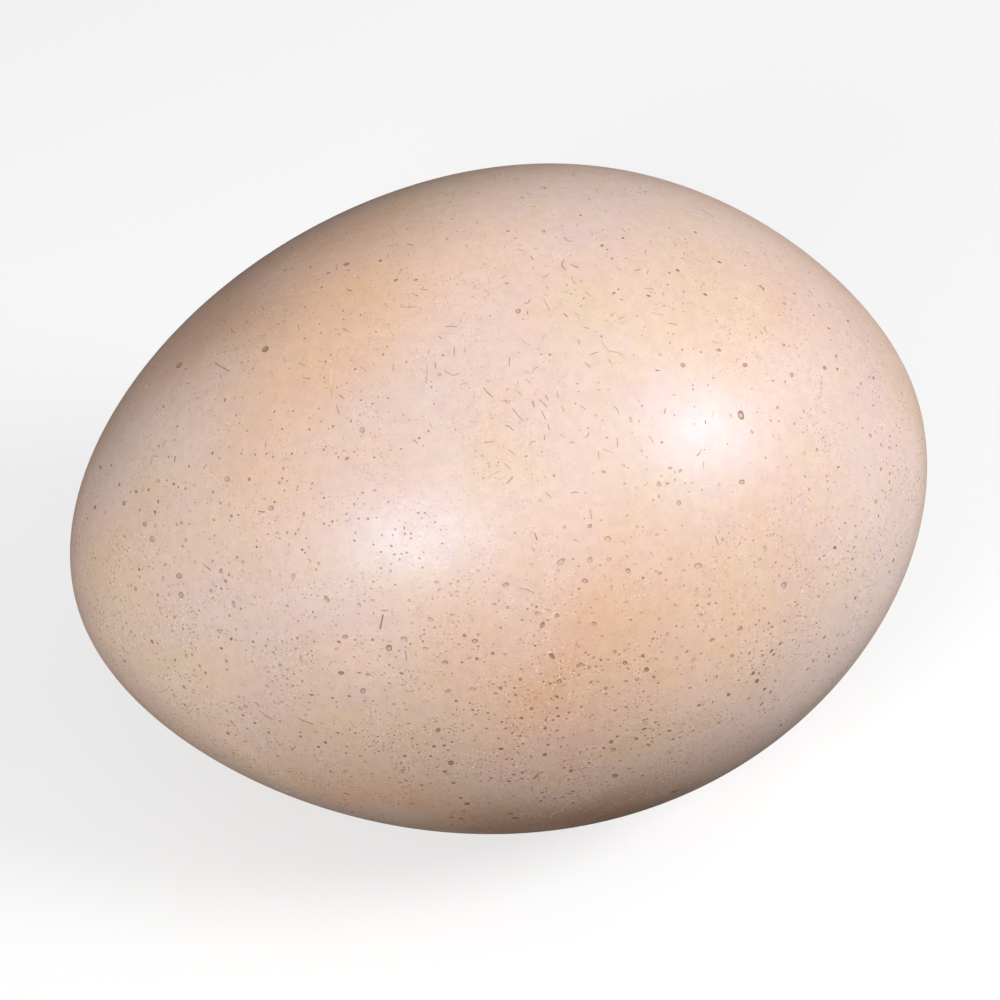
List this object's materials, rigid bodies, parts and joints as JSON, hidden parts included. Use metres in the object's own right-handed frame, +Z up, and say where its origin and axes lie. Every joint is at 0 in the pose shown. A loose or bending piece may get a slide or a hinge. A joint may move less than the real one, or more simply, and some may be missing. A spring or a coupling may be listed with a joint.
{
  "type": "fossil sauropod egg",
  "caption": "Large smooth fossil egg, one solid ovoid of cream stone with fine pore pits, blunter at one end, lying on its side on a small flat spot.",
  "frame": {"origin": "middle of the small flat spot that the egg rests on, under its centre of mass", "axes": "+X towards the blunt end, along the egg's length; +Z up; +Y completes the right-handed frame"},
  "size_m": [0.299, 0.2297, 0.2299],
  "materials": {
    "eggshell": "smooth, softly glossy cream shell with pinkish and yellowish clouding and small brown pore pits"
  },
  "bodies": {
    "root": {"egg": "eggshell"}
  },
  "joints": []
}
